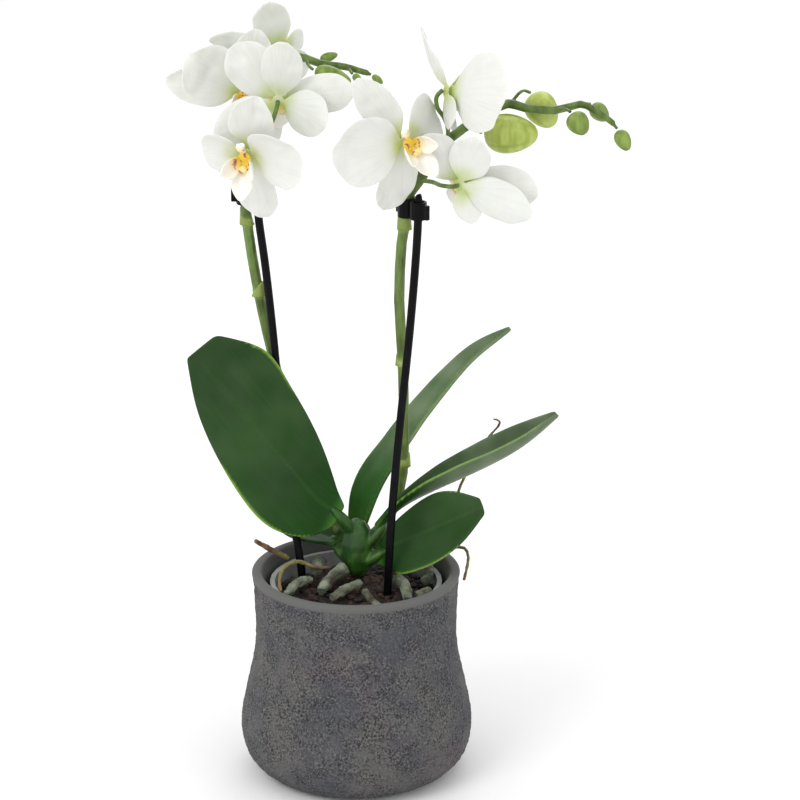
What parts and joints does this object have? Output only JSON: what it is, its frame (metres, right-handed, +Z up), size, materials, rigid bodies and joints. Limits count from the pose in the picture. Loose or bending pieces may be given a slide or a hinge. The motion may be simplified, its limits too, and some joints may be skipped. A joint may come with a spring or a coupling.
{
  "type": "potted orchid",
  "caption": "Flowering moth orchid with staked arching flower spikes and strap leaves, potted in bark in a nursery pot inside a waisted cement cover pot.",
  "frame": {"origin": "centre of the cover pot's flat base, where it rests on a table", "axes": "+Z up the pot's axis, +X to the right of the plant's front, +Y away from its front"},
  "size_m": [0.2341, 0.1245, 0.4042],
  "materials": {
    "cement": "matte, pitted and encrusted",
    "nursery_plastic": "satin",
    "bark": "rough, matte",
    "stem": "satin",
    "flower_spike": "satin",
    "root": "matte",
    "dry_root": "matte, dry",
    "leaf": "glossy",
    "stake": "satin",
    "clip": "satin",
    "bud": "satin",
    "lip": "satin",
    "tepal": "soft, slightly translucent"
  },
  "bodies": {
    "root": {"bark_mix": "bark", "clip_left": "clip", "clip_right": "clip", "cover_pot": "cement", "dry_root_curl": "dry_root", "dry_root_loop": "dry_root", "dry_root_over_rim": "dry_root", "dry_stick": "dry_root", "leaf_back": "leaf", "leaf_left": "leaf", "leaf_long": "leaf", "leaf_low": "leaf", "leaf_upright": "leaf", "left_bud_1": "bud", "left_bud_2": "bud", "left_bud_3": "bud", "left_bud_4": "bud", "left_flower_1_lip": "lip", "left_flower_1_petals": "tepal", "left_flower_1_sepals": "tepal", "left_flower_2_lip": "lip", "left_flower_2_petals": "tepal", "left_flower_2_sepals": "tepal", "left_flower_3_lip": "lip", "left_flower_3_petals": "tepal", "left_flower_3_sepals": "tepal", "left_flower_4_lip": "lip", "left_flower_4_petals": "tepal", "left_flower_4_sepals": "tepal", "nursery_pot": "nursery_plastic", "right_bud_1": "bud", "right_bud_2": "bud", "right_bud_3": "bud", "right_bud_4": "bud", "right_bud_5": "bud", "right_flower_1_lip": "lip", "right_flower_1_petals": "tepal", "right_flower_1_sepals": "tepal", "right_flower_2_lip": "lip", "right_flower_2_petals": "tepal", "right_flower_2_sepals": "tepal", "right_flower_3_lip": "lip", "right_flower_3_petals": "tepal", "right_flower_3_sepals": "tepal", "root_branch": "root", "root_front": "root", "root_left": "root", "root_right": "root", "root_right_edge": "root", "root_right_low": "root", "root_stub": "root", "root_thick": "root", "spike_left": "flower_spike", "spike_right": "flower_spike", "stake_left": "stake", "stake_right": "stake", "stem": "stem"}
  },
  "joints": []
}
